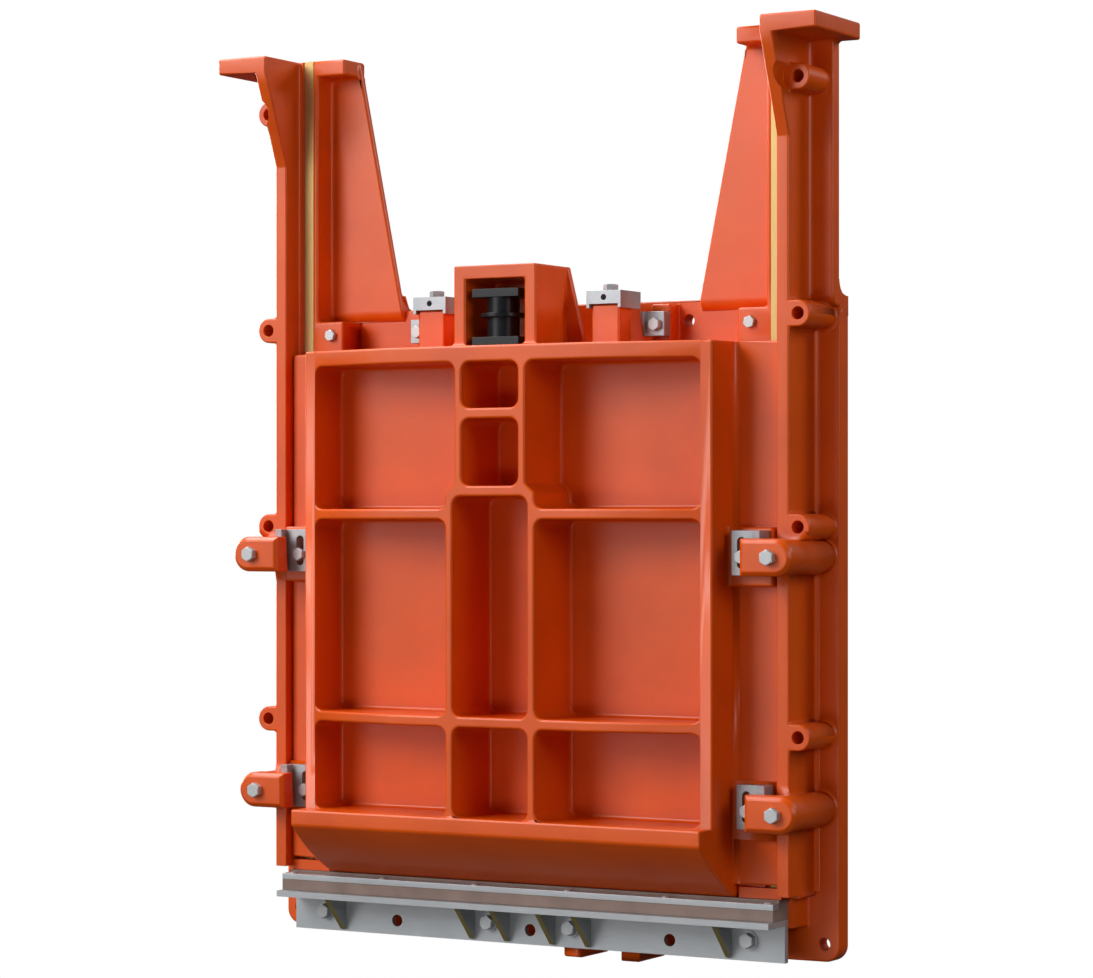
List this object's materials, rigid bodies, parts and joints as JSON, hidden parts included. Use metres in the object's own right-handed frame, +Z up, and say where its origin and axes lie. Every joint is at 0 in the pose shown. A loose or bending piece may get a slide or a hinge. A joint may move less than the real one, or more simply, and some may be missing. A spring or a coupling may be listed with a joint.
{
  "type": "sluice gate",
  "caption": "Wall-mounted sluice gate: flange frame, side guides, ribbed leaf that lifts in the guides, wedges and a sealed sill.",
  "frame": {"origin": "on the frame's back face, in the middle of the bottom member", "axes": "+X across the opening to the right as seen from the front, +Y into the wall, +Z up; the front looks along -Y"},
  "size_m": [1.2434, 0.259, 1.657],
  "materials": {
    "casting_paint": "orange-red satin coating on cast iron",
    "bronze": "machined bronze",
    "wedge_steel": "machined, satin",
    "stainless": "rolled, satin",
    "seal_rubber": "matt brown-grey rubber",
    "black_bronze": "blackened, satin"
  },
  "bodies": {
    "gate_frame": {"frame": "casting_paint", "left_guide": "casting_paint", "right_guide": "casting_paint", "left_guide_facing": "bronze", "right_guide_facing": "bronze", "top_seat_facing": "bronze", "left_upper_wedge_arm": "casting_paint", "right_upper_wedge_arm": "casting_paint", "left_lower_wedge_arm": "casting_paint", "right_lower_wedge_arm": "casting_paint", "left_top_wedge_seat": "wedge_steel", "right_top_wedge_seat": "wedge_steel", "sill_angle": "stainless", "sill_seal": "seal_rubber", "seal_retainer": "stainless"},
    "gate_leaf": {"leaf": "casting_paint", "left_leaf_facing": "bronze", "right_leaf_facing": "bronze", "top_leaf_facing": "bronze", "left_upper_wedge": "wedge_steel", "right_upper_wedge": "wedge_steel", "left_lower_wedge": "wedge_steel", "right_lower_wedge": "wedge_steel", "left_top_wedge_cap": "wedge_steel", "right_top_wedge_cap": "wedge_steel", "stem_nut": "black_bronze"}
  },
  "joints": [
    {"name": "leaf_lift", "type": "slide", "parent": "gate_frame", "child": "gate_leaf", "axis": [0, 0, 1], "range_m": [0, 0.914]}
  ]
}
